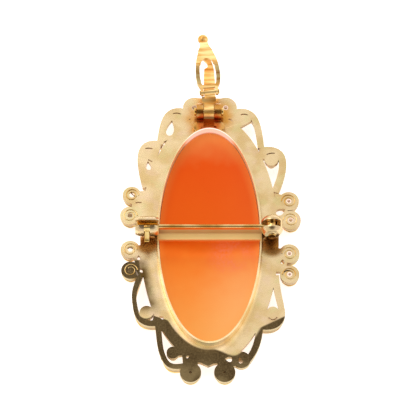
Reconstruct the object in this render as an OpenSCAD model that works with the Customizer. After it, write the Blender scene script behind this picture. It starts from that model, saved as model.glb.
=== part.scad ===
// Cameo pendant seen from its back: an oval shell in a pierced scroll frame, with a
// brooch pin across it and a hinged clip bail. It lies face down: +X runs to the right
// along the pin, +Y towards the bail, +Z up out of the back. Millimetres.

/* [Shell opening] */
// Half width of the oval opening at the back
opening_a = 9.2; // [7:0.1:12]
// Half length of the oval opening at the back
opening_b = 21.2; // [17:0.1:26]
// Gap between the shell's edge and the rim
shell_gap = 0.1; // [0.05:0.01:0.2]

/* [Frame heights] */
// Height of the flat back of the scrollwork above the floor
plate_top = 3.2; // [3:0.1:6]
// Thickness of the flat back
plate_t = 0.9; // [0.6:0.05:1.5]
// Height of the thin rim above the flat back
rim_h = 1.6; // [0.8:0.1:2.5]
// Depth of the scroll relief on the front
relief_t = 1.5; // [0.6:0.1:2.2]

/* [Flange] */
// Half width of the plain oval flange
flange_a = 12.6; // [11:0.1:15]
// Half length of the plain oval flange
flange_b = 24.9; // [22:0.1:30]

/* [Brooch pin] */
// Height of the pin wire above the flat back
pin_h = 3.6; // [2.5:0.1:5]
// Place of the pin wire along Y
pin_y = 0.5; // [-2:0.1:2]
// Radius of the pin wire
wire_r = 0.36; // [0.3:0.01:0.5]
// Distance of the joint and of the catch from the middle
finding_x = 11.3; // [10.5:0.1:12]
// Outer radius of the joint and of the catch
finding_r = 1.8; // [1.5:0.05:2.2]
// Radius of the rivet through the joint
rivet_r = 0.38; // [0.3:0.01:0.5]

/* [Bail] */
// Place of the bail's hinge along Y
hinge_y = 24.6; // [23:0.1:26]
// Height of the bail's hinge above the flat back
hinge_h = 1.7; // [1.6:0.05:2.5]
// Radius of the pin in the bail's hinge
hinge_pin_r = 0.43; // [0.3:0.01:0.6]
// Sideways lean of the clip, to the left
bail_lean = 6.3; // [0:0.1:10]
// Distance from the clip's hinge to its neck
leaf_l = 10.5; // [9:0.1:12]
// Bow of each leaf away from the straight line between hinge and neck
leaf_bow = 3.0; // [2:0.1:3.5]
// Thickness of a leaf
leaf_t = 0.6; // [0.4:0.05:0.9]

/* [Shown part] */
// Which sub-part to draw

/* [Hidden] */
$fn = 64;
gold = [0.88, 0.74, 0.44];
gold_dark = [0.78, 0.6, 0.3];
shell_color = [0.93, 0.42, 0.12];

// The outline reaches from the lower balls to the finial, and the origin is its middle.
origin_x = 0.175;
bottom_y = -28.4;
finial_r = 0.97;
finial_d = 0.55;
oval_n = 96;
eps = 0.05;
fit = 0.04;
loose = 0.1;
plate_bottom = plate_top - plate_t;
rim_top = plate_top + rim_h;

// Rim: the section is a row per corner, as distance outwards from the opening and height.
rim_edge = 0.32;
rim_foot = 1.0;
rim_cove = 1.3;
lip_w = 0.5;
lip_z = 1.2;
lip_t = 0.45;
border_w = 0.75;
border_t = 0.7;
rim_section = [
    [0, rim_top],
    [rim_edge, rim_top],
    [rim_edge + 0.1, rim_top - rim_h * 0.4],
    [rim_edge + 0.3, rim_top - rim_h * 0.7],
    [rim_edge + 0.6, rim_top - rim_h * 0.9],
    [rim_cove, plate_top],
    [rim_cove, plate_bottom + plate_t / 2],
    [rim_foot + border_w, plate_bottom + plate_t / 2],
    [rim_foot + border_w, plate_bottom - border_t * 0.6],
    [rim_foot + border_w * 0.6, plate_bottom - border_t],
    [rim_foot, plate_bottom - border_t],
    [rim_foot - 0.1, lip_z],
    [-lip_w, lip_z],
    [-lip_w, lip_z + lip_t],
    [0, lip_z + lip_t]
];

// Scrolls: centre x, centre y, radius, radius of the pierced eye.
scrolls = [
    [-2.8, 26.3, 2.1, 0.42],
    [3.0, 26.3, 2.1, 0.36],
    [-14.2, 8.4, 1.7, 0],
    [-14.5, 4.3, 1.8, 0.45],
    [-14.4, -2.5, 1.75, 0],
    [-14.3, -6.6, 1.7, 0],
    [14.5, 7.2, 1.85, 0.3],
    [14.8, 3.4, 1.85, 0.36],
    [14.5, -3.3, 1.85, 0.3],
    [14.5, -7.4, 1.75, 0.25],
    [-3.4, -26.5, 1.9, 0.22],
    [2.7, -26.5, 1.9, 0.22]
];

// Small balls at the inner ends of the open scrolls: centre x, centre y, radius.
balls = [
    [-11.3, -14.9, 1.3],
    [-6.55, -22.7, 1.15],
    [11.4, 15.7, 1.3],
    [11.4, -14.9, 1.15],
    [5.7, -24.1, 1.6]
];

// Straps: start x y, two pulls x y, end x y, width at the start, width at the end.
straps = [
    [-4.6, 25.5, -8.2, 26.4, -8.6, 23.2, -9.1, 18.8, 1.2, 1.2],
    [-9.2, 18.8, -13.6, 19.6, -12.9, 15.0, -11.6, 10.0, 1.3, 1.3],
    [-12.4, -7.0, -13.0, -9.5, -13.9, -10.5, -13.5, -13.0, 1.1, 0.8],
    [-13.5, -12.9, -13.2, -16.0, -12.2, -17.5, -9.2, -16.9, 0.8, 1.2],
    [-9.3, -16.9, -9.0, -19.5, -9.0, -22.0, -8.2, -23.6, 1.1, 0.9],
    [-8.25, -23.5, -7.6, -25.2, -6.8, -25.7, -4.4, -25.2, 0.9, 1.0],
    [4.8, 25.4, 8.6, 26.2, 9.0, 23.0, 9.5, 18.0, 1.2, 1.2],
    [9.6, 17.5, 14.6, 18.4, 14.0, 14.0, 12.0, 9.0, 1.3, 1.4],
    [11.9, -7.6, 12.1, -10.5, 12.7, -12.5, 13.0, -14.4, 1.3, 1.1],
    [13.0, -14.3, 13.3, -16.4, 12.0, -18.2, 8.8, -17.3, 1.1, 1.6],
    [9.0, -17.2, 8.9, -20.0, 8.3, -22.5, 6.5, -24.5, 1.3, 1.1]
];

// Webs that fill between the flange and the scrolls: four corners x y.
webs = [
    [-5.2, 24.0, -2.9, 28.3, 3.0, 28.2, 5.2, 24.0],
    [-3.0, 25.6, -7.8, 25.3, -9.0, 19.0, -5.0, 21.0],
    [3.0, 25.6, 7.6, 25.2, 7.7, 23.5, 5.2, 22.0],
    [-8.8, 19.2, -12.3, 18.4, -12.5, 13.6, -11.0, 10.6],
    [9.4, 18.4, 12.4, 17.7, 11.9, 15.8, 9.2, 15.8],
    [-14.2, 9.0, -11.3, 9.4, -11.3, 3.4, -14.1, 3.6],
    [-14.0, -2.0, -12.0, -1.4, -11.6, -6.4, -13.4, -6.0],
    [14.3, 8.2, 12.0, 8.8, 12.0, 2.8, 14.2, 3.0],
    [14.2, -2.4, 12.0, -2.2, 11.7, -6.9, 13.9, -6.9],
    [-9.8, -14.6, -10.4, -17.0, -8.2, -17.4, -7.4, -15.6],
    [9.4, -14.2, 12.6, -15.1, 12.0, -17.3, 8.4, -17.0],
    [-4.9, -23.2, -2.0, -24.0, -2.2, -25.5, -4.7, -25.5],
    [-6.6, -22.1, -4.4, -21.9, -4.4, -23.2, -6.3, -23.4],
    [1.3, -24.2, 6.0, -22.6, 5.3, -25.3, 1.5, -25.4],
    [-2.6, -24.2, -0.3, -25.3, 1.9, -24.3, -0.3, -23.6]
];

// Pierced drops: centre x, centre y, length, width, turn of the pointed end from +Y.
drops = [
    [-7.2, 22.1, 3.2, 1.45, -10],
    [-11.2, 14.4, 1.8, 0.9, 8],
    [13.0, 5.1, 1.9, 1.3, -60],
    [-12.85, -4.1, 0.9, 0.7, 0],
    [13.25, -4.9, 0.9, 0.8, 0],
    [-8.6, -15.9, 0.9, 0.55, 60],
    [-3.9, -23.5, 0.7, 0.5, -60],
    [3.4, -24.0, 1.3, 1.0, 80],
    [5.5, -24.2, 1.3, 0.75, 20]
];

// Engraved slits cut through: start x y, two pulls x y, end x y, width at both ends.
slits = [
    [-6.7, 25.05, -6.3, 25.25, -5.7, 25.2, -5.3, 24.95, 0.22, 0.22],
    [5.8, 24.8, 6.2, 25.0, 6.7, 25.0, 7.1, 24.7, 0.25, 0.25],
    [-11.8, 17.9, -11.4, 18.0, -10.9, 17.95, -10.5, 17.85, 0.2, 0.24],
    [-11.3, 15.6, -11.1, 15.5, -10.8, 15.3, -10.5, 15.2, 0.24, 0.24],
    [-14.4, 9.0, -14.1, 8.6, -13.9, 8.2, -13.3, 8.1, 0.22, 0.22],
    [-13.5, 6.8, -13.1, 6.95, -12.8, 6.95, -12.4, 6.9, 0.24, 0.24],
    [-14.9, -2.3, -14.6, -2.1, -14.2, -2.1, -13.9, -2.3, 0.24, 0.24],
    [-14.8, -6.8, -14.5, -5.7, -13.5, -5.6, -12.95, -7.6, 0.26, 0.3],
    [13.5, -7.0, 13.9, -6.5, 14.6, -6.5, 15.0, -7.1, 0.22, 0.22],
    [10.5, 16.6, 10.9, 16.9, 11.5, 17.0, 12.0, 16.9, 0.22, 0.22],
    [10.6, -15.9, 11.0, -16.5, 11.8, -16.5, 12.2, -15.8, 0.24, 0.24]
];

// Findings
finding_z = plate_top + pin_h;
finding_w = 3.4;
cheek_slot = 0.62;
knuckle_r = 0.95;
knuckle_w = 1.1;
catch_w = 4.2;
catch_bore = 1.3;
roller_r = 1.25;
roller_hole = 0.55;
mouth_w = 1.1;
lever_slot = 1.1;
lever_w = 0.86;
lever_reach = 2.75;
post_r = 1.25;

// Cross strap over the shell
cross_y = -0.25;
cross_w = 2.0;
cross_t = 0.7;

// Bail yoke: left and right arm, as first x and last x.
hinge_x = -0.1;
hinge_z = plate_top + hinge_h;
arm_in = 1.0;
arm_out = 2.25;
arm_r = 1.55;
strap_knuckle_r = 1.3;
foot_r = 0.8;
yoke_foot_y = 22.0;
yoke_h = 1.1;

// Clip: its own frame starts at the clip's hinge, leaning about Z.
clip_y = 28.4;
clip_z = plate_top + 2.2;
clip_pin_r = 0.3;
clip_r = 0.68;
clip_half = 1.0;
clip_outer = 1.6;
clip_head = 0.2;
strap_z = plate_top + 0.12;
strap_t = 1.1;
strap_half = 1.3;
neck_w = 0.7;
rail_w = 0.75;
bar_start = 0.45;
bar_end = 0.85;
window_end = 4.3;
window_r = 1.15;
arc_r = (pow(leaf_l / 2, 2) + pow(leaf_bow, 2)) / (2 * leaf_bow);
finial_gap = 0.06;

top_y = clip_y + (leaf_l + finial_d) * cos(bail_lean) + finial_r;
origin_y = (bottom_y + top_y) / 2;

// Widths of the leaves from the clip's hinge to the neck: distance, half width of the
// back leaf, reach of the front leaf to the left and to the right.
leaf_rows = [
    [-0.35, 1.6, 0.98, 0.98],
    [0.45, 1.6, 0.98, 0.98],
    [1.05, 2.1, 0.98, 1.0],
    [2.1, 2.27, 0.85, 1.25],
    [3.1, 2.22, 0.7, 1.4],
    [4.2, 2.08, 0.58, 1.45],
    [5.2, 1.88, 0.45, 1.5],
    [6.2, 1.58, 0.3, 1.5],
    [6.6, 1.45, -0.4, 1.45],
    [7.3, 1.3, -0.35, 1.25],
    [8.0, 1.0, 0.3, 1.0],
    [8.7, 0.8, 0.7, 0.8],
    [leaf_l, neck_w, neck_w, neck_w],
    [leaf_l + 0.4, neck_w, neck_w, neck_w]
];

function oval(a, b, n) = [for (i = [0:n - 1]) [a * cos(360 * i / n), b * sin(360 * i / n)]];

function bezier(r, t) =
    let (s = 1 - t)
    [for (k = [0:1])
        s * s * s * r[k] + 3 * s * s * t * r[k + 2] + 3 * s * t * t * r[k + 4] + t * t * t * r[k + 6]];

function heading(r, t) =
    let (s = 1 - t)
    [for (k = [0:1])
        s * s * (r[k + 2] - r[k]) + 2 * s * t * (r[k + 4] - r[k + 2]) + t * t * (r[k + 6] - r[k + 4])];

function flank(r, side, grow, n) =
    [for (i = [0:n])
        let (t = i / n, p = bezier(r, t), d = heading(r, t), w = (r[8] + (r[9] - r[8]) * t + grow) / 2)
        p + side * w * [-d[1], d[0]] / norm(d)];

function back_to_front(v) = [for (i = [len(v) - 1:-1:0]) v[i]];

function corners(r) = [for (i = [0:3]) [r[2 * i], r[2 * i + 1]]];

function drop_points(l, w, n) =
    [for (i = [0:n - 1])
        let (t = 360 * i / n)
        [w * 0.65 * sin(t) * sin(t / 2), l / 2 * cos(t)]];

module placed() {
    translate([-origin_x, -origin_y, 0])
        children();
}

module ribbon(r, grow = 0) {
    n = 12;
    polygon(concat(flank(r, 1, grow, n), back_to_front(flank(r, -1, grow, n))));
}

module along_x(r, x0, x1) {
    translate([x0, 0, 0])
        rotate([0, 90, 0])
            cylinder(h = x1 - x0, r = r);
}

module along_y(r, y0, y1) {
    translate([0, y0, 0])
        rotate([-90, 0, 0])
            cylinder(h = y1 - y0, r = r);
}

module block(x0, x1, y0, y1, z0, z1) {
    translate([x0, y0, z0])
        cube([x1 - x0, y1 - y0, z1 - z0]);
}

// A closed ring with one section all round an oval
module oval_ring(section) {
    m = len(section);
    points = [
        for (i = [0:oval_n - 1])
            let (c = cos(360 * i / oval_n), s = sin(360 * i / oval_n))
            for (k = section) [(opening_a + k[0]) * c, (opening_b + k[0]) * s, k[1]]
    ];
    faces = [
        for (i = [0:oval_n - 1])
            let (j = (i + 1) % oval_n)
            for (k = [0:m - 1])
                let (l = (k + 1) % m, p = i * m + k, q = j * m + k, u = j * m + l, v = i * m + l)
                for (f = [[p, q, u], [p, u, v]]) f
    ];
    polyhedron(points = points, faces = faces);
}

module plate_outline() {
    difference() {
        union() {
            difference() {
                polygon(oval(flange_a, flange_b, oval_n));
                polygon(oval(opening_a + rim_foot / 2, opening_b + rim_foot / 2, oval_n));
            }
            for (w = webs)
                polygon(corners(w));
            for (s = straps)
                ribbon(s);
            for (s = scrolls)
                translate([s[0], s[1]])
                    circle(r = s[2]);
            for (b = balls)
                translate([b[0], b[1]])
                    circle(r = b[2]);
        }
        polygon(oval(opening_a + rim_foot / 2, opening_b + rim_foot / 2, oval_n));
    }
}

// Everything pierced through the scrollwork besides the shell's opening
module piercings() {
    for (s = scrolls)
        if (s[3] > 0)
            translate([s[0], s[1]])
                circle(r = s[3]);
    for (d = drops)
        translate([d[0], d[1]])
            rotate(d[4])
                polygon(drop_points(d[2], d[3], 20));
    for (s = slits)
        ribbon(s);
}

// Raised scroll wires and bosses of the front; the bosses reach the floor
module front_relief() {
    inset = -0.5;
    boss = 0.82;
    tip = 0.6;
    wire_z = plate_bottom - relief_t;
    boss_z = plate_bottom - relief_t * 0.8;
    for (s = straps)
        translate([0, 0, wire_z])
            linear_extrude(relief_t + eps)
                ribbon(s, inset);
    for (s = scrolls)
        translate([s[0], s[1], 0]) {
            cylinder(h = boss_z + eps, r1 = s[2] * tip, r2 = s[2] * boss);
            translate([0, 0, boss_z])
                cylinder(h = plate_bottom - boss_z + eps, r = s[2] * boss);
        }
    for (b = balls)
        translate([b[0], b[1], wire_z])
            cylinder(h = relief_t + eps, r1 = b[2] * tip, r2 = b[2] * boss);
}

module cross_strap() {
    block(-opening_a - rim_edge / 2, opening_a + rim_edge / 2, cross_y - cross_w / 2, cross_y + cross_w / 2,
        rim_top - cross_t, rim_top + eps);
}

module bail_yoke() {
    for (side = [-1, 1])
        translate([hinge_x, 0, 0]) {
            x0 = side > 0 ? arm_in : -arm_out;
            x1 = side > 0 ? arm_out : -arm_in;
            difference() {
                union() {
                    translate([0, hinge_y, hinge_z])
                        along_x(arm_r, x0, x1);
                    block(x0, x1, yoke_foot_y, hinge_y, plate_top - eps, plate_top + yoke_h);
                    translate([side * arm_out * 0.95, yoke_foot_y, plate_top - eps])
                        cylinder(h = yoke_h + eps, r = foot_r);
                }
                translate([0, hinge_y, hinge_z])
                    along_x(hinge_pin_r + fit / 2, -arm_out - 1, arm_out + 1);
            }
        }
}

// Pin joint: two rounded cheeks joined by an end wall, on a short post
module pin_joint() {
    wall = 0.4;
    shape_r = 2.15;
    translate([finding_x, pin_y, 0]) {
        translate([0, 0, plate_top - eps])
            cylinder(h = finding_z - finding_r - plate_top + 0.6, r = post_r);
        difference() {
            translate([0, 0, finding_z])
                intersection() {
                    along_y(finding_r + 0.15, -finding_w / 2, finding_w / 2);
                    sphere(r = shape_r);
                }
            block(-2 * finding_r, finding_r + 0.15 - wall, -cheek_slot, cheek_slot,
                finding_z - knuckle_r - loose, finding_z + 2 * finding_r);
            translate([0, 0, finding_z])
                along_y(rivet_r + fit / 2, -finding_w, finding_w);
        }
    }
}

// Catch: a barrel with a mouth that opens upwards and a slot for the safety lever
module catch_housing() {
    taper = 0.7;
    end_r = 1.5;
    translate([-finding_x, pin_y, 0]) {
        difference() {
            union() {
                translate([0, 0, plate_top - eps])
                    cylinder(h = finding_z - finding_r - plate_top + 0.35, r = post_r);
                translate([0, 0, finding_z]) {
                    along_x(finding_r, taper - catch_w / 2, catch_w / 2 - taper);
                    for (side = [-1, 1])
                        rotate([0, side * 90, 0])
                            translate([0, 0, catch_w / 2 - taper])
                                cylinder(h = taper, r1 = finding_r, r2 = end_r);
                }
            }
            translate([0, 0, finding_z])
                along_x(catch_bore, -catch_w, catch_w);
            block(-catch_w, catch_w, -mouth_w / 2, mouth_w / 2, finding_z, finding_z + 2 * finding_r);
            block(-lever_slot / 2, lever_slot / 2, -2 * finding_r, mouth_w / 2,
                finding_z - lever_slot / 2 - loose, finding_z + 2 * finding_r);
        }
    }
}

module frame() {
    color(gold)
        placed() {
            difference() {
                union() {
                    translate([0, 0, plate_bottom])
                        linear_extrude(plate_t)
                            plate_outline();
                    front_relief();
                }
                translate([0, 0, -1])
                    linear_extrude(plate_top + 2)
                        piercings();
            }
            oval_ring(rim_section);
            cross_strap();
            bail_yoke();
            pin_joint();
            catch_housing();
        }
}

// Shell: a dished oval, hollow at the back, with a flower spray raised on its front
shell_edge_z = lip_z + lip_t + shell_gap;
shell_edge_t = 1.35;
shell_back_dish = 1.05;
shell_front_dome = 0.95;
shell_rings = 20;
relief_h = 0.6;

// Blooms of the spray: centre x, centre y, radius, petals, height share.
blooms = [
    [0.4, 3.2, 4.4, 6, 1.0],
    [-1.2, 11.0, 2.9, 5, 0.8],
    [1.6, -5.6, 3.1, 5, 0.9],
    [-0.6, -12.6, 2.1, 5, 0.6]
];

function bloom_height(x, y, b) =
    let (
        u = [x - b[0], y - b[1]],
        d = norm(u) / b[2],
        petal = 0.75 + 0.25 * cos(b[3] * atan2(u[1], u[0])),
        t = d / petal
    )
    t >= 1 ? 0 : b[4] * (0.35 + 0.65 * pow(sin(180 * min(1, t * 0.94 + 0.06)), 2)) * (1 - pow(t, 6));

function front_height(x, y) = relief_h * max([for (b = blooms) bloom_height(x, y, b)]);

module cameo() {
    a = opening_a - shell_gap;
    b = opening_b - shell_gap;
    n = oval_n;
    rings = shell_rings;
    back = [
        for (k = [rings:-1:1])
            let (f = k / rings)
            for (i = [0:n - 1])
                [a * f * cos(360 * i / n), b * f * sin(360 * i / n),
                    shell_edge_z + shell_edge_t - shell_back_dish * (1 - f * f)]
    ];
    front = [
        for (k = [rings:-1:1])
            let (f = k / rings)
            for (i = [0:n - 1])
                let (x = a * f * cos(360 * i / n), y = b * f * sin(360 * i / n), inner = min(1, (1 - f) * 8))
                [x, y, shell_edge_z - shell_front_dome * (1 - f * f) - inner * front_height(x, y)]
    ];
    centre = [
        [0, 0, shell_edge_z + shell_edge_t - shell_back_dish],
        [0, 0, shell_edge_z - shell_front_dome - front_height(0, 0)]
    ];
    c_back = 2 * rings * n;
    side = [for (i = [0:n - 1])
        let (j = (i + 1) % n, o = rings * n)
        for (f = [[i, j, o + j], [i, o + j, o + i]]) f];
    bands = [for (k = [0:rings - 2], i = [0:n - 1])
        let (j = (i + 1) % n, p = k * n, q = (k + 1) * n, o = rings * n)
        for (f = [
            [p + i, q + i, q + j], [p + i, q + j, p + j],
            [o + p + i, o + q + j, o + q + i], [o + p + i, o + p + j, o + q + j]
        ]) f];
    caps = [for (i = [0:n - 1])
        let (j = (i + 1) % n, p = (rings - 1) * n, o = (2 * rings - 1) * n)
        for (f = [[p + i, c_back, p + j], [o + i, o + j, c_back + 1]]) f];
    color(shell_color)
        placed()
            polyhedron(points = concat(back, front, centre), faces = concat(side, bands, caps));
}

module bail_hinge_pin() {
    head_r = 0.75;
    head_l = 0.4;
    color(gold_dark)
        placed()
            translate([hinge_x, hinge_y, hinge_z]) {
                along_x(hinge_pin_r, -arm_out - fit - eps, arm_out + fit + eps);
                along_x(head_r, arm_out + fit, arm_out + fit + head_l);
                along_x(head_r, -arm_out - fit - head_l, -arm_out - fit);
            }
}

module in_clip() {
    translate([hinge_x + 0.1, clip_y, clip_z])
        rotate([0, 0, bail_lean])
            children();
}

// Outline of a leaf between two columns of its table, made narrower by an inset
module leaf_outline(left_column, right_column, inset = 0) {
    right = [for (row = leaf_rows) [row[right_column] - inset, row[0]]];
    left = [for (row = back_to_front(leaf_rows)) [inset - row[left_column], row[0]]];
    polygon(concat(right, left));
}

// A bowed sheet between hinge and neck, side +1 up, -1 down
module bowed(side) {
    wide = 8;
    translate([0, leaf_l / 2, side * (leaf_bow - arc_r)])
        intersection() {
            difference() {
                along_x(arc_r + leaf_t / 2, -wide / 2, wide / 2);
                along_x(arc_r - leaf_t / 2, -wide, wide);
            }
            block(-wide, wide, -leaf_l, leaf_l,
                side > 0 ? arc_r - leaf_bow + finial_gap / 2 : -2 * arc_r,
                side > 0 ? 2 * arc_r : leaf_bow - arc_r - finial_gap / 2);
        }
}

// Half of the finial with its neck, side +1 up, -1 down
module finial_half(side) {
    translate([0, leaf_l, 0])
        intersection() {
            union() {
                translate([0, finial_d, 0])
                    sphere(r = finial_r);
                along_y(neck_w, -0.4, finial_d);
            }
            block(-2, 2, -1, 3, side > 0 ? finial_gap / 2 : -2, side > 0 ? 2 : -finial_gap / 2);
        }
}

module bail_front() {
    root = 0.5;
    strap_start = hinge_y + arm_r + loose;
    strap_end = clip_y - clip_r - 2.5 * loose;
    color(gold)
        placed() {
            in_clip() {
                finial_half(-1);
                difference() {
                    union() {
                        intersection() {
                            translate([0, 0, -10])
                                linear_extrude(20)
                                    leaf_outline(2, 3);
                            bowed(-1);
                        }
                        along_x(clip_r, -clip_half, clip_half);
                        block(-clip_half, clip_half, -clip_r - root, 0, strap_z - clip_z, 0);
                    }
                    along_x(clip_pin_r + fit / 2, -clip_outer, clip_outer);
                }
            }
            difference() {
                union() {
                    translate([hinge_x, 0, 0])
                        rotate([90, 0, 90])
                            linear_extrude(2 * strap_half, center = true)
                                polygon([
                                    [strap_start, strap_z], [strap_end, strap_z],
                                    [strap_end, clip_z - eps], [strap_start, strap_z + strap_t]
                                ]);
                    block(hinge_x - arm_in + loose, hinge_x + arm_in - loose, hinge_y, strap_start + loose,
                        strap_z, strap_z + strap_t);
                    translate([hinge_x, hinge_y, hinge_z])
                        along_x(strap_knuckle_r, -arm_in + loose, arm_in - loose);
                }
                translate([hinge_x, hinge_y, hinge_z])
                    along_x(hinge_pin_r + fit, -arm_out, arm_out);
            }
        }
}

module bail_clip_pin() {
    head_r = 0.45;
    color(gold_dark)
        placed()
            in_clip() {
                along_x(clip_pin_r, -clip_outer - fit - eps, clip_outer + fit + eps);
                along_x(head_r, clip_outer + fit, clip_outer + fit + clip_head);
                along_x(head_r, -clip_outer - fit - clip_head, -clip_outer - fit);
            }
}

// The window of the back leaf and the room for the front leaf's knuckle
module gate_window() {
    room = clip_half + loose;
    translate([-room, -1])
        square([2 * room, 1 + bar_start]);
    intersection() {
        leaf_outline(1, 1, rail_w);
        union() {
            translate([-3, bar_end])
                square([6, window_end - bar_end]);
            translate([0, window_end])
                circle(r = window_r);
        }
    }
}

module bail_gate() {
    split_w = 0.14;
    split_floor = 0.55;
    color(gold)
        placed()
            in_clip()
                difference() {
                    union() {
                        intersection() {
                            translate([0, 0, -10])
                                linear_extrude(20)
                                    difference() {
                                        leaf_outline(1, 1);
                                        gate_window();
                                    }
                            bowed(1);
                        }
                        finial_half(1);
                        for (side = [-1, 1])
                            along_x(clip_r, side > 0 ? clip_half + loose : -clip_outer,
                                side > 0 ? clip_outer : -clip_half - loose);
                    }
                    along_x(clip_pin_r + fit, -2 * clip_outer, 2 * clip_outer);
                    along_x(clip_r + loose, -clip_half - loose, clip_half + loose);
                    block(-split_w / 2, split_w / 2, leaf_l - 0.2, leaf_l + finial_d + finial_r + 1,
                        split_floor, 2 * finial_r);
                }
}

module pin_rivet() {
    head_r = 0.62;
    head_l = 0.2;
    color(gold_dark)
        placed()
            translate([finding_x, pin_y, finding_z]) {
                along_y(rivet_r, -finding_w / 2 - fit - eps, finding_w / 2 + fit + eps);
                along_y(head_r, finding_w / 2 + fit, finding_w / 2 + fit + head_l);
                along_y(head_r, -finding_w / 2 - fit - head_l, -finding_w / 2 - fit);
            }
}

module pin_stem() {
    tip_x = -finding_x - catch_w / 2 - 0.5;
    tip_l = 2.6;
    color(gold)
        placed()
            translate([0, pin_y, finding_z])
                difference() {
                    union() {
                        along_x(wire_r, tip_x + tip_l, finding_x);
                        translate([tip_x, 0, 0])
                            rotate([0, 90, 0])
                                cylinder(h = tip_l + eps, r1 = 0.1, r2 = wire_r);
                        translate([finding_x, 0, 0])
                            along_y(knuckle_r, -knuckle_w / 2, knuckle_w / 2);
                    }
                    translate([finding_x, 0, 0])
                        along_y(rivet_r + fit, -2, 2);
                }
}

// Safety lever: a slotted roller round the pin wire with a thumb tab towards -Y
module catch_lever() {
    roller_l = catch_w - 0.5;
    tab_h = 0.7;
    color(gold)
        placed()
            translate([-finding_x, pin_y, finding_z])
                difference() {
                    union() {
                        along_x(roller_r, -roller_l / 2, roller_l / 2);
                        block(-lever_w / 2, lever_w / 2, -lever_reach, -roller_hole - 0.1, -tab_h / 2, tab_h / 2);
                        translate([0, -lever_reach, 0])
                            along_x(0.42, -lever_w / 2, lever_w / 2);
                    }
                    along_x(roller_hole, -catch_w, catch_w);
                    block(-catch_w, catch_w, -roller_hole, roller_hole, 0, 2 * roller_r);
                }
}

frame();
cameo();
bail_hinge_pin();
bail_front();
bail_clip_pin();
bail_gate();
pin_rivet();
pin_stem();
catch_lever();
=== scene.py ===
import logging
import math
from dataclasses import dataclass
from enum import Enum
from typing import Sequence, Union

import bmesh
import bpy
from mathutils import Matrix, Vector


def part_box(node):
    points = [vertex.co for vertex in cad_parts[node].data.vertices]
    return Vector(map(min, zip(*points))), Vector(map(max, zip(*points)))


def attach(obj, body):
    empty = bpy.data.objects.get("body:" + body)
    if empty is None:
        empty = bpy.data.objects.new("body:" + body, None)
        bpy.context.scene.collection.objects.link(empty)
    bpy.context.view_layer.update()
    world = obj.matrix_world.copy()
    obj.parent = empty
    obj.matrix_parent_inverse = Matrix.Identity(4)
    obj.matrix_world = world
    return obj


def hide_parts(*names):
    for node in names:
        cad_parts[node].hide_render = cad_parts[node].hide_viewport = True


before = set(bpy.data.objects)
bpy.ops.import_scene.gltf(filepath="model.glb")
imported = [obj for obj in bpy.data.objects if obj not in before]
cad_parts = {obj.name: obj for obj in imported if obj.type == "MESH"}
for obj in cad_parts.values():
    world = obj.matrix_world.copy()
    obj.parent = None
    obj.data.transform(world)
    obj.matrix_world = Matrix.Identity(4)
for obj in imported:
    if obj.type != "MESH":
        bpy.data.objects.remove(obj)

LOG = logging.getLogger("pendant")
Colour = tuple[float, float, float]
Path = list[tuple[Vector, float]]
Socket = bpy.types.NodeSocket
Value = Union[Socket, float]

# A millimetre in metres. Sizes and places are in millimetres, from the middle of the shell's oval and from
# the floor, apart from the studio's.
MM = 0.001
# The place of the frame's origin.
ORIGIN_X, ORIGIN_Y = 0.175, 5.97663
PLATE_TOP, PLATE_UNDER = 3.2, 2.3
# The shell's thickness at its edge, and how far its front domes out.
SHELL_EDGE, SHELL_DOME = 1.35, 0.95
# Half sizes of the opening and of the flange round it.
OVAL_A, OVAL_B = 9.2, 21.2
FLANGE_A, FLANGE_B = 12.6, 24.9
# The strap across the opening: its middle, half its width and how far out its stained part goes.
STRAP_Y, STRAP_HALF, STRAP_REACH = -0.25, 1.2, 9.3
# Outer slope of the rim, as distance out from the opening and height.
RIM_SLOPE = [(0.32, 4.8), (0.42, 4.16), (0.62, 3.68), (0.92, 3.36), (1.3, 3.2)]
# What is left of the slope's width when it is drawn in.
RIM_DRAW = 0.16
# Corners nearer than this, in metres, are one. Faces within FLAT degrees of each other are one flat, and
# edges sharper than BREAK_FROM degrees are broken.
WELD, FLAT, BREAK_FROM = 2e-6, 0.05, 34.0
# The photograph's width in pixels, its pixels to a millimetre, and the camera's lean in degrees.
PHOTO_PX, PX_PER_MM = 410, 5.5
CAMERA_TILT = 25.0
# Scrolls: middle x, middle y, radius. The first two are the crest and the last two the foot.
SCROLLS = [
    (-2.8, 26.3, 2.1), (3.0, 26.3, 2.1), (-14.2, 8.4, 1.7), (-14.5, 4.3, 1.8), (-14.4, -2.5, 1.75),
    (-14.3, -6.6, 1.7), (14.5, 7.2, 1.85), (14.8, 3.4, 1.85), (14.5, -3.3, 1.85), (14.5, -7.4, 1.75),
    (-3.4, -26.5, 1.9), (2.7, -26.5, 1.9),
]
ABOVE_FOOT, AT_SIDES = SCROLLS[:-2], SCROLLS[2:-2]
# Front straps: start x y, two pulls x y, end x y.
STRAPS = [
    (-4.6, 25.5, -8.2, 26.4, -8.6, 23.2, -9.1, 18.8),
    (-9.2, 18.8, -13.6, 19.6, -12.9, 15.0, -11.6, 10.0),
    (-12.4, -7.0, -13.0, -9.5, -13.9, -10.5, -13.5, -13.0),
    (-13.5, -12.9, -13.2, -16.0, -12.2, -17.5, -9.2, -16.9),
    (-9.3, -16.9, -9.0, -19.5, -9.0, -22.0, -8.2, -23.6),
    (-8.25, -23.5, -7.6, -25.2, -6.8, -25.7, -4.4, -25.2),
    (4.8, 25.4, 8.6, 26.2, 9.0, 23.0, 9.5, 18.0),
    (9.6, 17.5, 14.6, 18.4, 14.0, 14.0, 12.0, 9.0),
    (11.9, -7.6, 12.1, -10.5, 12.7, -12.5, 13.0, -14.4),
    (13.0, -14.3, 13.3, -16.4, 12.0, -18.2, 8.8, -17.3),
    (9.0, -17.2, 8.9, -20.0, 8.3, -22.5, 6.5, -24.5),
]


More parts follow.
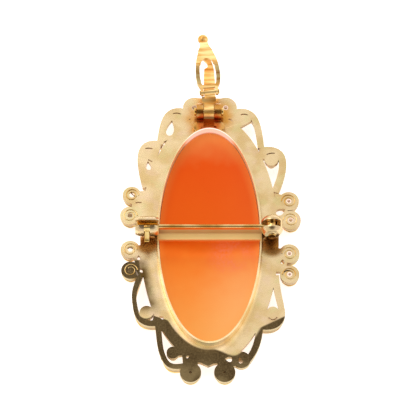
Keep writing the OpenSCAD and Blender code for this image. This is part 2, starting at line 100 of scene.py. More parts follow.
def srgb(code: str) -> Colour:
    """Turns a hex colour into linear light.

    Args:
        code: six hex digits.
    Returns:
        Linear red, green and blue.
    """
    parts = [int(code[i:i + 2], 16) / 255 for i in (0, 2, 4)]
    return tuple(c / 12.92 if c <= 0.04045 else ((c + 0.055) / 1.055) ** 2.4 for c in parts)


def place(x: float, y: float, z: float) -> Vector:
    """Gives a point of the frame from the oval's own millimetres.

    Args:
        x, y, z: millimetres from the middle of the oval and from the floor.
    Returns:
        The point in metres.
    """
    return Vector(((x - ORIGIN_X) * MM, (y - ORIGIN_Y) * MM, z * MM))


class Metal(Enum):
    """The metal surfaces of the pendant."""

    FRAME = "frame gold"
    LEAF = "leaf gold"
    BRIGHT = "bright gold"
    PIN = "pin gold"


@dataclass(frozen=True)
class GoldFinish:
    """A gold surface: its colours, polish and wear, and the strength of a painted glow."""

    base: Colour
    shade: Colour
    roughness: float
    scratches: float
    waves: float
    blush: float = 0.0
    glow: float = 0.0
    banded: bool = False
    marked: bool = False


GOLDS = {
    Metal.FRAME: GoldFinish(srgb("E5CB9E"), srgb("D5B680"), 0.22, 0.10, 0.35, 0.26, marked=True),
    # The leaf gold gives off a painted glow that lightens the bail's leaves.
    Metal.LEAF: GoldFinish(srgb("F5D592"), srgb("C68C3E"), 0.26, 0.05, 0.2, glow=0.34, banded=True),
    Metal.BRIGHT: GoldFinish(srgb("F3D590"), srgb("D9A548"), 0.09, 0.05, 0.2),
    Metal.PIN: GoldFinish(srgb("F0CE8C"), srgb("CC9A4A"), 0.12, 0.08, 0.2),
}


class Tint:
    """The colours of tinted places and of painted light and shade."""

    # Painted shade on the upright faces of the bail's leaves.
    LEAF_SIDE = srgb("735A30")
    ROSE, GREENISH = srgb("E6C3B0"), srgb("CDCB8C")
    # A painted dark reflection on the lower scrolls: grainy browns, paler at the foot.
    DARK, DARK_MIDDLE, DARK_PALE = srgb("453722"), srgb("55442B"), srgb("68563A")
    DARK_WORN = srgb("98845C")
    # Painted shade on the plate's upright sides, and a pale painted glint on them within the dark reflection.
    SIDE, SIDE_OF_DARK = srgb("8E6C3E"), srgb("DCC698")
    # A painted warm highlight round the bail's yoke, and painted shade under it.
    YOKE, YOKE_FOOT = srgb("D0913E"), srgb("C2642A")
    # A painted pale highlight in the eyes of the scrolls and on the rim's inner wall.
    EYE, RIM_WALL = srgb("F6DCCE"), srgb("F4DCD2")
    STRAP_LOW, STRAP_HIGH = srgb("FAD892"), srgb("BE864A")
    # Painted shade towards the outer edge of the lower left flange.
    SMOKE = srgb("5E4724")
    SHELL_PALER, SHELL_VEIL, SHELL_BORDER = srgb("FFD090"), srgb("F8845A"), srgb("F59A48")
    SHELL_SPECK, SHELL_FLOWER = srgb("A8400C"), srgb("F4DFC8")


@dataclass(frozen=True)
class Stain:
    """A round patch of painted shade on the back: its middle, its reach and its colour."""

    x: float
    y: float
    reach: float
    colour: Colour


# Painted shade, brown, on the plate under the pin's joint and under the catch.
STAINS = (Stain(11.4, -1.8, 2.6, srgb("9A641E")), Stain(-11.3, -1.5, 2.3, srgb("B87C34")))


class Nodes:
    """A short way to write a node tree."""

    def __init__(self, tree: bpy.types.NodeTree) -> None:
        """Keeps the tree.

        Args:
            tree: the tree that the nodes go into.
        """
        self.tree = tree

    def add(self, kind: str, inputs: dict | None = None, **settings) -> bpy.types.Node:
        """Adds a node.

        Args:
            kind: the node's type name.
            inputs: socket name or number to a value or to another node's output.
            settings: the node's own properties.
        Returns:
            The node.
        """
        node = self.tree.nodes.new(kind)
        for name, value in settings.items():
            setattr(node, name, value)
        for name, value in (inputs or {}).items():
            socket = node.inputs[name]
            if isinstance(value, bpy.types.NodeSocket):
                self.tree.links.new(value, socket)
            elif isinstance(value, tuple) and socket.type == "RGBA":
                socket.default_value = (*value, 1.0)
            else:
                socket.default_value = value
        return node

    def maths(self, operation: str, a: Value, b: Value = 0.0, c: Value = 0.0, clamp: bool = False) -> Socket:
        """Adds a maths node.

        Args:
            operation: the node's operation.
            a, b, c: its values, as many as the operation takes.
            clamp: True to keep the result between 0 and 1.
        Returns:
            The result.
        """
        return self.add("ShaderNodeMath", {0: a, 1: b, 2: c}, operation=operation, use_clamp=clamp).outputs[0]

    def times(self, first: Value, *others: Value) -> Value:
        """Multiplies values.

        Args:
            first: the first value.
            others: the values that it is multiplied by.
        Returns:
            The product.
        """
        product = first
        for value in others:
            product = self.maths("MULTIPLY", product, value)
        return product

    def mix(self, factor: Value, a: Socket | Colour, b: Socket | Colour) -> Socket:
        """Mixes two colours.

        Args:
            factor: 0 for the first colour, 1 for the second.
            a, b: the colours.
        Returns:
            The mixed colour.
        """
        return self.add("ShaderNodeMix", {0: factor, 6: a, 7: b}, data_type="RGBA").outputs[2]

    def ramp(self, factor: Value, stops: Sequence[tuple[float, Colour]]) -> Socket:
        """Adds a colour ramp.

        Args:
            factor: the value that is looked up.
            stops: place and colour of each stop.
        Returns:
            The colour.
        """
        node = self.add("ShaderNodeValToRGB", {"Fac": factor})
        band = node.color_ramp.elements
        while len(band) < len(stops):
            band.new(0.5)
        for stop, (at, colour) in zip(band, stops):
            stop.position = at
            stop.color = (*colour, 1.0)
        return node.outputs["Color"]

    def span(self, value: Value, low: float, high: float) -> Socket:
        """Turns a stretch of values into a soft step.

        Args:
            value: the value.
            low: where the step is 0, which may be the larger number.
            high: where the step is 1.
        Returns:
            The step, between 0 and 1.
        """
        inputs = {0: value, 1: low, 2: high}
        return self.add("ShaderNodeMapRange", inputs, interpolation_type="SMOOTHSTEP").outputs[0]


class Where:
    """The place of a shaded point, in millimetres from the middle of the oval and from the floor."""

    def __init__(self, n: Nodes) -> None:
        """Adds the nodes that find the place.

        Args:
            n: the material's tree.
        """
        self.n = n
        self.point = n.add("ShaderNodeTexCoord").outputs["Object"]
        parts = n.add("ShaderNodeSeparateXYZ", {0: self.point}).outputs
        self.x = n.maths("MULTIPLY_ADD", parts[0], 1 / MM, ORIGIN_X)
        self.y = n.maths("MULTIPLY_ADD", parts[1], 1 / MM, ORIGIN_Y)
        self.z = n.maths("MULTIPLY", parts[2], 1 / MM)

    def noise(self, scale: float, detail: float = 2.0,
              stretch: tuple[float, float, float] | None = None, turn: float = 0.0) -> Socket:
        """Gives a soft noise.

        Args:
            scale: how fine it is, in cells to a metre.
            detail: how many finer layers it has.
            stretch: how much finer it is along each axis, if it isn't even.
            turn: how far a stretched noise is turned in the plane, in radians.
        Returns:
            The noise, with 0.5 as its middle.
        """
        point = self.point
        if stretch:
            turned = {"Vector": point, "Rotation": (0.0, 0.0, turn), "Scale": stretch}
            point = self.n.add("ShaderNodeMapping", turned).outputs[0]
        inputs = {"Vector": point, "Scale": scale, "Detail": detail}
        return self.n.add("ShaderNodeTexNoise", inputs).outputs[0]

    def apart(self, x: float, y: float) -> Socket:
        """Gives the distance from a place.

        Args:
            x, y: the place.
        Returns:
            The distance in millimetres.
        """
        n = self.n
        across = n.maths("POWER", n.maths("SUBTRACT", self.x, x), 2.0)
        along = n.maths("POWER", n.maths("SUBTRACT", self.y, y), 2.0)
        return n.maths("SQRT", n.maths("ADD", across, along))

    def reach(self, half_x: float, half_y: float) -> Socket:
        """Gives how far out the point is, counted in sizes of an oval.

        Args:
            half_x, half_y: half sizes of the oval.
        Returns:
            1 on the oval, less inside it and more outside.
        """
        n = self.n
        across = n.maths("POWER", n.maths("DIVIDE", self.x, half_x), 2.0)
        along = n.maths("POWER", n.maths("DIVIDE", self.y, half_y), 2.0)
        return n.maths("SQRT", n.maths("ADD", across, along))

    def upright(self, none: float, full: float) -> Socket:
        """Finds upright faces.

        Args:
            none: how far a face looks up or down, from 0 to 1, where the mask is 0.
            full: the same where the mask is 1.
        Returns:
            1 on upright faces and 0 on flat ones.
        """
        n = self.n
        normal = n.add("ShaderNodeTexCoord").outputs["Normal"]
        facing = n.add("ShaderNodeSeparateXYZ", {0: normal}).outputs[2]
        return n.span(n.maths("ABSOLUTE", facing), none, full)


class FrameMarks:
    """The marks on the frame's back: painted highlights, painted shade, a painted dark reflection, painted
    glow and the strap's tan.
    """

    def __init__(self, where: Where, cloud: Socket) -> None:
        """Finds the places that several marks share.

        Args:
            where: the place of the shaded point.
            cloud: a soft noise.
        """
        self.n = n = where.n
        self.where, self.cloud = where, cloud
        self.x, self.y, self.z = where.x, where.y, where.z
        self.opening = where.reach(OVAL_A, OVAL_B)
        self.flange = where.reach(FLANGE_A, FLANGE_B)
        self.back = n.span(self.z, PLATE_UNDER, PLATE_UNDER + 0.2)
        self.rim_wall = n.span(self.opening, 1.012, 1.002)
        self.eyes = 0.0
        for x, y, _ in ABOVE_FOOT:
            self.eyes = n.maths("MAXIMUM", self.eyes, n.span(where.apart(x, y), 0.55, 0.35))
        from_middle = n.maths("ABSOLUTE", n.maths("SUBTRACT", self.y, STRAP_Y))
        along = n.span(n.maths("ABSOLUTE", self.x), STRAP_REACH + 0.2, STRAP_REACH)
        self.strap = n.times(n.span(from_middle, STRAP_HALF + 0.1, STRAP_HALF), along)

    def paint(self, base: Socket, rough: Socket) -> tuple[Socket, Socket, Socket]:
        """Adds all the marks, which are painted light and shade apart from the strap's tan.

        Args:
            base: the gold's colour.
            rough: the gold's roughness.
        Returns:
            The new colour, the new roughness and the strength of the painted glow.
        """
        n = self.n
        # A painted dark reflection on the lower scrolls.
        dark = n.times(self.lower_shade(), self.back)
        base = n.mix(self.back, base, self.worn(base))
        base = n.mix(dark, base, self.dark_gold())
        # Painted shade on the plate's upright sides, and a pale painted glint on them within the dark
        # reflection.
        sides = n.times(self.where.upright(0.75, 0.4), n.span(self.z, PLATE_TOP + 0.1, PLATE_TOP))
        sides = n.times(sides, n.maths("SUBTRACT", 1.0, self.eyes))
        share = n.maths("MULTIPLY_ADD", dark, 0.25, 0.55)
        base = n.mix(n.times(sides, share), base, n.mix(dark, Tint.SIDE, Tint.SIDE_OF_DARK))
        rough = n.maths("MULTIPLY_ADD", self.strap, 0.3, rough)
        rough = n.maths("MULTIPLY_ADD", dark, 0.16, rough)
        return base, rough, n.times(self.rim_light(), self.back)

    def worn(self, base: Socket) -> Socket:
        """Adds painted highlights and painted shade round the yoke, in the eyes, on the rim's wall, under the
        catch and the joint and at the lower left flange's edge, and the strap's tan.

        Args:
            base: the gold's colour.
        Returns:
            The new colour.
        """
        n, apart = self.n, self.where.apart
        # A painted warm highlight round the yoke, and painted shade under it.
        warm = n.maths("MULTIPLY_ADD", n.span(self.cloud, 0.36, 0.56), 0.45, 0.5)
        base = n.mix(n.times(warm, n.span(apart(-0.1, 23.8), 5.4, 3.2)), base, Tint.YOKE)
        base = n.mix(n.span(apart(-0.1, 22.3), 2.6, 1.6), base, Tint.YOKE_FOOT)
        # A painted pale highlight in the eyes of the scrolls.
        base = n.mix(self.eyes, base, Tint.EYE)
        # The painted shade under the catch and the joint stays off them, which stand above the plate.
        low = n.span(self.z, 5.2, 4.8)
        for stain in STAINS:
            near = n.span(apart(stain.x, stain.y), stain.reach, stain.reach - 1.1)
            base = n.mix(n.times(near, 0.85, low), base, stain.colour)
        # A painted pale highlight on the rim's inner wall, towards the top.
        base = n.mix(n.times(self.rim_wall, n.span(self.y, 17.5, 20.0)), base, Tint.RIM_WALL)
        tan = n.mix(n.span(self.y, -0.35, 0.2), Tint.STRAP_LOW, Tint.STRAP_HIGH)
        base = n.mix(n.times(self.strap, 0.85), base, tan)
        # Painted shade towards the outer edge of the lower left flange.
        smoke = n.times(n.span(self.flange, 0.85, 0.99), n.span(self.x, -4.0, -7.0))
        smoke = n.times(smoke, n.span(self.y, -3.0, -5.5), n.span(self.y, -16.0, -13.0))
        smoke = n.times(smoke, n.maths("MULTIPLY_ADD", n.span(self.cloud, 0.35, 0.6), 0.45, 0.55))
        return n.mix(smoke, base, Tint.SMOKE)

    def dark_gold(self) -> Socket:
        """Gives the grainy brown of the painted dark reflection on the lower scrolls, paler at the foot.

        Returns:
            The colour.
        """
        n = self.n
        stops = [(0.32, Tint.DARK), (0.5, Tint.DARK_MIDDLE), (0.68, Tint.DARK_PALE)]
        brown = n.ramp(self.where.noise(3400.0, 3.0), stops)
        foot = n.maths("MULTIPLY_ADD", n.span(self.y, -23.5, -26.5), 0.4, 0.1)
        return n.mix(n.times(n.span(self.cloud, 0.36, 0.6), foot), brown, Tint.DARK_WORN)

    def lower_shade(self) -> Socket:
        """Finds the lower scrolls, which the photograph shows dark, for a painted dark reflection.

        Returns:
            1 on the dark scrolls and 0 elsewhere.
        """
        n, x, y = self.n, self.x, self.y
        # The edge of the dark part keeps to the flange's oval, and cuts into it at the bottom.
        level = n.maths("MULTIPLY_ADD", n.span(y, -15.2, -16.6), -0.145, 1.03)
        level = n.maths("MULTIPLY_ADD", n.span(x, 0.5, 5.5), 0.125, level)
        outside = n.span(n.maths("SUBTRACT", self.flange, level), -0.008, 0.012)
        # The ball inside the left scroll stays pale.
        off_ball = n.span(self.where.apart(-11.4, -14.7), 1.25, 1.5)
        left = n.times(outside, n.span(y, -4.35, -4.9), off_ball, n.span(x, 7.4, 6.8))
        slope = n.maths("MULTIPLY_ADD", x, -0.5, y)
        right = n.times(n.span(slope, -22.2, -22.6), n.span(x, 6.6, 7.0), n.span(self.flange, 1.0, 1.04))
        return n.maths("MAXIMUM", left, right, clamp=True)

    def rim_light(self) -> Socket:
        """Gives the painted glow on the rim's two sides, which stands in for the light that they take from
        the shell and the plate.

        Returns:
            The strength, with a little painted glow in the eyes of the scrolls.
        """
        n = self.n
        inside = n.times(self.rim_wall, n.maths("SUBTRACT", 1.0, self.strap))
        inside = n.times(inside, n.maths("MULTIPLY_ADD", n.span(self.y, 18.0, 19.5), 0.35, 0.3))
        slope = n.times(n.span(self.opening, 1.005, 1.012), n.span(self.opening, 1.10, 1.05))
        slope = n.times(slope, n.span(self.y, -4.5, -8.0), 0.38)
        return n.maths("ADD", n.maths("ADD", inside, slope), n.times(self.eyes, 0.3))


def empty_material(name: str) -> tuple[bpy.types.Material, Nodes]:
    """Makes a material without nodes.

    Args:
        name: the material's name.
    Returns:
        The material and its tree.
    """
    material = bpy.data.materials.new(name)
    material.use_nodes = True
    material.node_tree.nodes.clear()
    return material, Nodes(material.node_tree)


def gold_material(kind: Metal) -> bpy.types.Material:
    """Makes a gold with fine scratches and uneven polish.

    Args:
        kind: which metal.
    Returns:
        The material.
    """
    finish = GOLDS[kind]
    material, n = empty_material(kind.value)
    where = Where(n)
    cloud = where.noise(260.0, 3.0)
    hair = where.noise(900.0, 6.0, (1.0, 9.0, 1.0), 0.5)
    dents = where.noise(170.0)
    patches = where.noise(1250.0, 4.0, (0.12, 1.0, 0.3)) if finish.banded else cloud
    base = n.mix(n.span(patches, 0.38, 0.66), finish.base, finish.shade)
    if finish.banded:
        # Painted shade on the upright faces of the leaves.
        base = n.mix(n.times(where.upright(0.4, 0.1), 0.5), base, Tint.LEAF_SIDE)
    inputs = {"Vector": where.point, "Scale": 420.0, "W": 3.7}
    blush = n.add("ShaderNodeTexNoise", inputs, noise_dimensions="4D").outputs[0]
    base = n.mix(n.times(n.span(blush, 0.54, 0.68), finish.blush), base, Tint.ROSE)
    base = n.mix(n.times(n.span(blush, 0.46, 0.34), finish.blush), base, Tint.GREENISH)
    rough = n.maths("MULTIPLY_ADD", hair, finish.scratches, finish.roughness)
    # The glow is painted light: the leaf gold's own, or the frame's painted glow from its marks.
    glow = finish.glow
    if finish.marked:
        base, rough, glow = FrameMarks(where, cloud).paint(base, rough)
    height = n.maths("ADD", n.times(hair, 0.02), n.times(dents, finish.waves))
    bump = n.add("ShaderNodeBump", {"Height": height, "Strength": 0.25, "Distance": 0.0004})
    shader = n.add("ShaderNodeBsdfPrincipled", {
        "Base Color": base, "Metallic": 1.0, "Roughness": rough, "Normal": bump.outputs[0],
        "Emission Color": base, "Emission Strength": glow,
    })
    n.add("ShaderNodeOutputMaterial", {0: shader.outputs[0]})
    return material


def shell_material() -> bpy.types.Material:
    """Makes the orange shell, deeper in its upper part, paler to the right and at its foot.

    Returns:
        The material.
    """
    material, n = empty_material("orange shell")
    where = Where(n)
    cloud = where.noise(330.0, 4.0)
    along = n.maths("MULTIPLY_ADD", where.y, 0.5 / OVAL_B, 0.5)
    drift = n.maths("MULTIPLY_ADD", n.maths("SUBTRACT", cloud, 0.5), 0.10, along)
    body = n.ramp(drift, [
        (0.0, srgb("F5A550")), (0.36, srgb("F48028")), (0.5, srgb("E86008")), (0.84, srgb("E55205")),
        (1.0, srgb("E88040")),
    ])
    paler = n.times(n.span(where.x, -5.0, 7.5), n.span(drift, 0.52, 0.2), 0.34)
    body = n.mix(paler, body, Tint.SHELL_PALER)
    # A paler pink veil below the strap, to the right.
    mottle = n.times(n.span(cloud, 0.34, 0.6), n.span(where.noise(1900.0, 4.0), 0.2, 0.72))
    veil = n.times(n.span(where.apart(4.2, -3.2), 6.0, 1.0), mottle, 0.7)
    body = n.mix(veil, body, Tint.SHELL_VEIL)
    edge = where.reach(OVAL_A, OVAL_B)
    body = n.mix(n.times(n.span(edge, 0.84, 1.0), 0.3), body, Tint.SHELL_BORDER)
    cells = {"Vector": where.point, "Scale": 420.0, "Randomness": 1.0}
    speck = n.span(n.add("ShaderNodeTexVoronoi", cells).outputs["Distance"], 0.12, 0.05)
    speck = n.times(speck, n.span(where.noise(210.0), 0.60, 0.66), 0.6)
    body = n.mix(speck, body, Tint.SHELL_SPECK)
    # A painted glow over the whole shell, stronger just below the cross strap, where it lightens the strap's
    # shadow.
    beside = n.span(n.maths("ABSOLUTE", n.maths("ADD", where.y, 2.4)), 2.0, 0.6)
    light = n.maths("MULTIPLY_ADD", beside, 0.12, 0.19)
    # The raised flowers on the front are cut in the shell's pale layer.
    edge_z = max(corner[2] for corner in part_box("cameo")) / MM - SHELL_EDGE
    ground = n.maths("MULTIPLY_ADD", n.maths("POWER", edge, 2.0), SHELL_DOME, edge_z - SHELL_DOME)
    raised = n.maths("SUBTRACT", ground, where.z)
    body = n.mix(n.span(raised, 0.05, 0.22), body, Tint.SHELL_FLOWER)
    shader = n.add("ShaderNodeBsdfPrincipled", {
        "Base Color": body, "Roughness": 0.45, "Specular IOR Level": 0.08, "Emission Color": body,
        "Emission Strength": light, "Coat Weight": 0.04, "Coat Roughness": 0.3,
    })
    n.add("ShaderNodeOutputMaterial", {0: shader.outputs[0]})
    return material


def finish_object(name: str, mesh: bpy.types.Mesh, material: bpy.types.Material, body: str,
                  replaces: Sequence[str] = ()) -> bpy.types.Object:
    """Puts a mesh into the scene as a piece of the pendant.

    Args:
        name: the piece's name.
        mesh: its mesh, in the frame's metres.
        material: its material.
        body: the CAD body that it rides on.
        replaces: the CAD nodes that it stands for.
    Returns:
        The object.
    """
    mesh.materials.clear()
    mesh.materials.append(material)
    piece = bpy.data.objects.new(name, mesh)
    bpy.context.scene.collection.objects.link(piece)
    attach(piece, body)
    if replaces:
        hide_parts(*replaces)
    LOG.info("%s: %d faces", name, len(mesh.polygons))
    return piece


def evaluated(obj: bpy.types.Object) -> bpy.types.Mesh:
    """Applies an object's modifiers and removes the object.

    Args:
        obj: the object.
    Returns:
        The mesh that the modifiers make.
    """
    graph = bpy.context.evaluated_depsgraph_get()
    mesh = bpy.data.meshes.new_from_object(obj.evaluated_get(graph))
    bpy.data.objects.remove(obj)
    return mesh


def out_of_opening(x: float, y: float) -> float:
    """Gives how far a point lies outside the opening's oval.

    Args:
        x, y: the point.
    Returns:
        The distance in millimetres, found by halving.
    """
    low, high = -2.0, 3.0
    for _ in range(24):
        mid = (low + high) / 2
        if (x / (OVAL_A + mid)) ** 2 + (y / (OVAL_B + mid)) ** 2 > 1:
            low = mid
        else:
            high = mid
    return (low + high) / 2


def slope_height(out: float) -> float:
    """Gives the height of the rim's slope.

    Args:
        out: the distance from the opening.
    Returns:
        The height above the floor in millimetres.
    """
    for (k0, z0), (k1, z1) in zip(RIM_SLOPE, RIM_SLOPE[1:]):
        if out <= k1:
            return z0 + (z1 - z0) * (out - k0) / (k1 - k0)
    return RIM_SLOPE[-1][1]


def thin_rim(work: bmesh.types.BMesh) -> None:
    """Draws the rim's slope in to a thin wall, as the photograph shows it.

    Args:
        work: the copy of the frame, in the frame's metres.
    """
    (first, rim_top), last = RIM_SLOPE[0], RIM_SLOPE[-1][0]
    for vertex in work.verts:
        x, y, z = vertex.co.x / MM + ORIGIN_X, vertex.co.y / MM + ORIGIN_Y, vertex.co.z / MM
        if z < PLATE_TOP - 0.01 or z > rim_top:
            continue
        out = out_of_opening(x, y)
        if first + 0.01 < out < last + 0.02 and abs(z - slope_height(out)) < 0.03:
            drawn = first + (out - first) * RIM_DRAW
            vertex.co.x = (x * (OVAL_A + drawn) / (OVAL_A + out) - ORIGIN_X) * MM
            vertex.co.y = (y * (OVAL_B + drawn) / (OVAL_B + out) - ORIGIN_Y) * MM


def rounded_copy(node: str, edge: float, smooth: float = 32.0) -> bpy.types.Mesh:
    """Copies a CAD node with its flats merged and its edges broken.

    Args:
        node: the CAD node.
        edge: the width of the broken edge in millimetres.
        smooth: faces that meet under this angle, in degrees, are shaded as one.
    Returns:
        The new mesh.
    """
    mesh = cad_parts[node].data.copy()
    work = bmesh.new()
    work.from_mesh(mesh)
    bmesh.ops.remove_doubles(work, verts=work.verts, dist=WELD)
    if node == "frame":
        thin_rim(work)
    bmesh.ops.dissolve_limit(work, angle_limit=math.radians(FLAT), verts=work.verts, edges=work.edges)
    work.to_mesh(mesh)
    work.free()
    holder = bpy.data.objects.new(node + "_copy", mesh)
    bpy.context.scene.collection.objects.link(holder)
    bevel = holder.modifiers.new("edge", "BEVEL")
    bevel.width = edge * MM
    bevel.segments = 2
    bevel.limit_method = "ANGLE"
    bevel.angle_limit = math.radians(BREAK_FROM)
    mesh.shade_smooth()
    mesh.set_sharp_from_angle(angle=math.radians(smooth))
    weighted = holder.modifiers.new("normals", "WEIGHTED_NORMAL")
    weighted.weight = 100
    weighted.keep_sharp = True
    return evaluated(holder)


@dataclass(frozen=True)
class MetalPiece:
    """A metal piece that stands for a CAD node: its body, metal, broken edge and slot."""

    node: str
    body: str
    metal: Metal
    edge: float
    slot: str = "gilt"

    def build(self, metals: dict[Metal, bpy.types.Material]) -> None:
        """Makes the piece.

        Args:
            metals: the material of each metal.
        """
        mesh = rounded_copy(self.node, self.edge)
        finish_object(self.node + "_finished", mesh, metals[self.metal], self.body, (self.node,))


METAL_PIECES = (
    MetalPiece("frame", "pendant", Metal.FRAME, 0.06),
    MetalPiece("bail_hinge_pin", "pendant", Metal.BRIGHT, 0.08, "gilt_dark"),
    MetalPiece("bail_front", "bail", Metal.LEAF, 0.08),
    MetalPiece("bail_clip_pin", "bail", Metal.BRIGHT, 0.06, "gilt_dark"),
    MetalPiece("bail_gate", "clip", Metal.LEAF, 0.22),
    MetalPiece("pin_rivet", "pendant", Metal.BRIGHT, 0.05, "gilt_dark"),
    MetalPiece("pin_stem", "pin", Metal.PIN, 0.05),
    MetalPiece("catch_lever", "lever", Metal.BRIGHT, 0.06),
)


def path_tree(name: str, beads: bool) -> bpy.types.NodeTree:
    """Makes a geometry tree that turns paths into a row of beads or into a round wire.

    Args:
        name: the tree's name.
        beads: True for beads, False for a wire whose thickness follows the attribute taper.
    Returns:
        The tree, with the inputs Radius, Spacing and Material.
    """
    tree = bpy.data.node_groups.new(name, "GeometryNodeTree")
    tree.is_modifier = True
    for label, kind in (("Geometry", "NodeSocketGeometry"), ("Radius", "NodeSocketFloat"),
                        ("Spacing", "NodeSocketFloat"), ("Material", "NodeSocketMaterial")):
        tree.interface.new_socket(label, in_out="INPUT", socket_type=kind)
    tree.interface.new_socket("Geometry", in_out="OUTPUT", socket_type="NodeSocketGeometry")
    n = Nodes(tree)
    given = n.add("NodeGroupInput").outputs
    curve = n.add("GeometryNodeMeshToCurve", {"Mesh": given["Geometry"]}).outputs[0]
    steps = {"Curve": curve, "Length": given["Spacing"]}
    curve = n.add("GeometryNodeResampleCurve", steps, mode="LENGTH").outputs[0]
    if beads:
        ball = n.add("GeometryNodeMeshUVSphere", {"Segments": 14, "Rings": 8, "Radius": given["Radius"]})
        size = n.add("FunctionNodeRandomValue", {2: 0.93, 3: 1.05, "Seed": 7}, data_type="FLOAT").outputs[1]
        shape = n.add("GeometryNodeInstanceOnPoints", {
            "Points": curve, "Instance": ball.outputs[0], "Scale": size,
        }).outputs[0]
    else:
        taper = n.add("GeometryNodeInputNamedAttribute", {"Name": "taper"}, data_type="FLOAT")
        ring = n.add("GeometryNodeCurvePrimitiveCircle", {"Resolution": 12, "Radius": given["Radius"]})
        shape = n.add("GeometryNodeCurveToMesh", {
            "Curve": curve, "Profile Curve": ring.outputs[0], "Scale": taper.outputs[0],
            "Fill Caps": True,
        }).outputs[0]
    real = n.add("GeometryNodeRealizeInstances", {0: shape}).outputs[0]
    smooth = n.add("GeometryNodeSetShadeSmooth", {0: real}).outputs[0]
    painted = n.add("GeometryNodeSetMaterial", {0: smooth, "Material": given["Material"]}).outputs[0]
    n.add("NodeGroupOutput", {"Geometry": painted})
    return tree


def along_paths(name: str, tree: bpy.types.NodeTree, paths: Sequence[Path], closed: bool,
                radius: float, spacing: float, material: bpy.types.Material) -> bpy.types.Mesh:
    """Runs a path tree over some paths.

    Args:
        name: the new mesh's name.
        tree: a tree from path_tree.
        paths: rows of points with their taper.
        closed: whether each path returns to its start.
        radius: bead or wire radius in millimetres.
        spacing: distance of the points along a path in millimetres.
        material: the material that is set.
    Returns:
        The finished mesh.
    """
    points, tapers, edges = [], [], []
    for path in paths:
        first = len(points)
        points += [p for p, _ in path]
        tapers += [t for _, t in path]
        edges += [(first + i, first + i + 1) for i in range(len(path) - 1)]
        if closed:
            edges.append((first + len(path) - 1, first))
    mesh = bpy.data.meshes.new(name)
    mesh.from_pydata(points, edges, [])
    taper = mesh.attributes.new("taper", "FLOAT", "POINT")
    taper.data.foreach_set("value", tapers)
    holder = bpy.data.objects.new(name, mesh)
    bpy.context.scene.collection.objects.link(holder)
    modifier = holder.modifiers.new("paths", "NODES")
    modifier.node_group = tree
    values = {"Radius": radius * MM, "Spacing": spacing * MM, "Material": material}
    for item in tree.interface.items_tree:
        if item.in_out == "INPUT" and item.name in values:
            modifier[item.identifier] = values[item.name]
    return evaluated(holder)


@dataclass(frozen=True)
class Spiral:
    """A wire that winds inwards round the middle of a scroll.

    Its distance out is counted in the scroll's radius, and its height is in millimetres.
    """

    turns: float
    out: float
    narrows: float
    height: float
    thins: float
    count: int
    drops: float = 0.0
    start: float = 0.0
    mirrored: bool = False

    def round(self, x: float, y: float, radius: float) -> Path:
        """Gives the spiral's middle line.

        Args:
            x, y: the middle of the scroll.
            radius: the scroll's radius.
        Returns:
            The path, which gets thinner inwards.
        """
        path = []
        side = -1 if self.mirrored and x <= 0 else 1
        for i in range(self.count + 1):
            t = i / self.count
            turn = self.start + 2 * math.pi * self.turns * t
            out = radius * (self.out - self.narrows * t)
            across, along = side * out * math.cos(turn), out * math.sin(turn)
            at = place(x + across, y + along, self.height - self.drops * t)
            path.append((at, 1.0 - self.thins * t))
        return path


# Coils wind down the bosses on the front. Curls lie on the back and start at the flange.
COIL = Spiral(turns=1.6, out=0.85, narrows=0.14, height=1.9, drops=1.4, thins=0.4, count=60)
CURL = Spiral(turns=-1.4, out=0.74, narrows=0.42, height=PLATE_TOP + 0.02, thins=0.3, count=48,
              start=math.pi, mirrored=True)


@dataclass
class WireWork:
    """Beads and wires on the front, which faces the floor, and fine spirals on the back.

    Sizes are radii and steps in millimetres, and heights above the floor.
    """

    bead: float = 0.3
    bead_step: float = 0.63
    wire: float = 0.36
    wire_step: float = 0.3
    coil: float = 0.2
    coil_step: float = 0.25
    curl: float = 0.11
    curl_step: float = 0.12
    oval_out: float = 1.38
    oval_z: float = 1.62
    strap_z: float = 0.88

    def build(self, front: bpy.types.Material, fine: bpy.types.Material) -> None:
        """Makes the beads, the strap wires, the coils round the bosses and the spirals.

        Args:
            front: the front's gold.
            fine: the gold of the spirals on the back.
        """
        beads, wires = path_tree("bead row", True), path_tree("scroll wire", False)
        straps = [self.strap(row) for row in STRAPS]
        coils = [COIL.round(*row) for row in SCROLLS]
        curls = [CURL.round(*row) for row in AT_SIDES]
        rows = [
            ("front_beads", beads, [self.oval()], True, self.bead, self.bead_step, front),
            ("front_straps", wires, straps, False, self.wire, self.wire_step, front),
            ("front_coils", wires, coils, False, self.coil, self.coil_step, front),
            ("back_curls", wires, curls, False, self.curl, self.curl_step, fine),
        ]
        for name, tree, paths, closed, radius, spacing, material in rows:
            mesh = along_paths(name, tree, paths, closed, radius, spacing, material)
            finish_object(name, mesh, material, "pendant")

    def oval(self) -> Path:
        """Gives the middle line of the front border.

        Returns:
            The path, of even thickness.
        """
        count = 180
        a, b = OVAL_A + self.oval_out, OVAL_B + self.oval_out
        turns = [2 * math.pi * i / count for i in range(count)]
        return [(place(a * math.cos(t), b * math.sin(t), self.oval_z), 1.0) for t in turns]

    def strap(self, row: Sequence[float]) -> Path:
        """Gives the middle line of a strap.

        Args:
            row: a row of STRAPS.
        Returns:
            The path, thinner at both ends.
        """
        path = []
        count = 24
        for i in range(count + 1):
            t = i / count
            s = 1 - t
            share = (s ** 3, 3 * s * s * t, 3 * s * t * t, t ** 3)
            x, y = (sum(w * row[2 * k + axis] for k, w in enumerate(share)) for axis in (0, 1))
            path.append((place(x, y, self.strap_z), 0.55 + 0.45 * math.sin(math.pi * t) ** 0.5))
        return path


def build_shell() -> None:
    """Makes the dished oval of shell as a finer copy of its CAD solid."""
    mesh = rounded_copy("cameo", 0.05, 50.0)
    finish_object("cameo_finished", mesh, shell_material(), "pendant", ("cameo",))


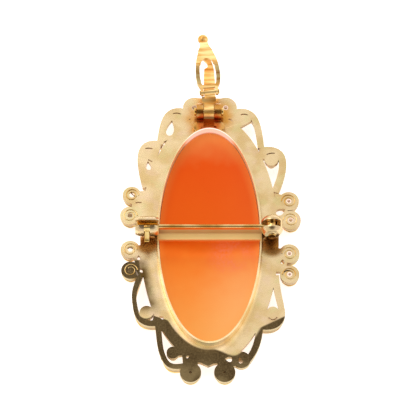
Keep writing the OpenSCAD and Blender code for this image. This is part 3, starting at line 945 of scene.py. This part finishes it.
@dataclass
class Studio:
    """Floor, light and camera, in metres."""

    distance: float = 0.6
    view_width: float = PHOTO_PX / PX_PER_MM * MM
    # The photograph's middle, in its pixels right and up from the middle of the oval.
    aim_px: tuple[float, float] = (-4.5, 32.0)
    sensor_mm: float = 36.0
    floor_half: float = 1.5
    floor_drop: float = 0.00002
    floor_white: float = 0.95
    floor_roughness: float = 0.9
    floor_glow: float = 0.75
    surroundings: Colour = (1.0, 0.985, 0.96)
    behind_camera: Colour = (0.10, 0.075, 0.045)
    lamp_size: float = 0.5
    lamp_power: float = 1.2
    lamp_at: tuple[float, float, float] = (-0.35, 0.35, 0.7)

    def __post_init__(self) -> None:
        """Works out the camera's two directions."""
        tilt = math.radians(CAMERA_TILT)
        self.towards_camera = Vector((0, -math.sin(tilt), math.cos(tilt)))
        self.up = Vector((0, math.cos(tilt), math.sin(tilt)))

    def build(self) -> None:
        """Makes the studio."""
        self.floor()
        self.light()
        self.camera()

    def floor(self) -> None:
        """Lays the pale floor."""
        mesh = bpy.data.meshes.new("floor")
        half = self.floor_half
        edge = [(-half, -half, 0), (half, -half, 0), (half, half, 0), (-half, half, 0)]
        mesh.from_pydata(edge, [], [(0, 1, 2, 3)])
        material, n = empty_material("pale floor")
        shader = n.add("ShaderNodeBsdfPrincipled", {
            "Base Color": (self.floor_white,) * 3, "Roughness": self.floor_roughness,
            "Emission Color": (1.0, 1.0, 1.0), "Emission Strength": self.floor_glow,
        })
        n.add("ShaderNodeOutputMaterial", {0: shader.outputs[0]})
        mesh.materials.append(material)
        floor = bpy.data.objects.new("floor", mesh)
        floor.location.z = -self.floor_drop
        bpy.context.scene.collection.objects.link(floor)

    def light(self) -> None:
        """Makes the soft surroundings: bright all round, dark only about the camera."""
        world = bpy.data.worlds.new("studio")
        bpy.context.scene.world = world
        world.use_nodes = True
        world.node_tree.nodes.clear()
        n = Nodes(world.node_tree)
        where = n.add("ShaderNodeTexCoord").outputs["Generated"]
        inputs = {0: where, 1: tuple(self.towards_camera)}
        towards = n.add("ShaderNodeVectorMath", inputs, operation="DOT_PRODUCT").outputs["Value"]
        colour = n.mix(n.span(towards, 0.80, 0.90), self.surroundings, self.behind_camera)
        back = n.add("ShaderNodeBackground", {0: colour, 1: 1.0})
        n.add("ShaderNodeOutputWorld", {0: back.outputs[0]})
        lamp = bpy.data.lights.new("soft box", "AREA")
        lamp.shape = "DISK"
        lamp.size = self.lamp_size
        lamp.energy = self.lamp_power
        box = bpy.data.objects.new("soft box", lamp)
        box.location = self.lamp_at
        box.rotation_euler = (-box.location).to_track_quat("-Z", "Y").to_euler()
        bpy.context.scene.collection.objects.link(box)

    def camera(self) -> None:
        """Sets the camera at the photograph's angle."""
        right_px, up_px = self.aim_px
        target = place(0, 0, PLATE_TOP) + (Vector((right_px, 0, 0)) + self.up * up_px) * (MM / PX_PER_MM)
        data = bpy.data.cameras.new("camera")
        data.sensor_width = self.sensor_mm
        data.lens = self.sensor_mm * self.distance / self.view_width
        data.clip_start = 0.01
        data.clip_end = 5
        camera = bpy.data.objects.new("camera", data)
        camera.location = target + self.towards_camera * self.distance
        camera.rotation_mode = "QUATERNION"
        axes = Matrix(((1, 0, 0), tuple(self.up), tuple(self.towards_camera)))
        camera.rotation_quaternion = axes.transposed().to_quaternion()
        bpy.context.scene.collection.objects.link(camera)
        bpy.context.scene.camera = camera


def main() -> None:
    """Builds the pendant and its studio."""
    logging.basicConfig(level=logging.INFO, format="%(name)s %(message)s")
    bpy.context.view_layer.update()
    metals = {kind: gold_material(kind) for kind in Metal}
    for piece in METAL_PIECES:
        piece.build(metals)
    WireWork().build(metals[Metal.BRIGHT], metals[Metal.PIN])
    build_shell()
    Studio().build()
    scene = bpy.context.scene
    scene.view_settings.view_transform = "Standard"
    scene.view_settings.look = "None"


if __name__ == "__main__":
    main()
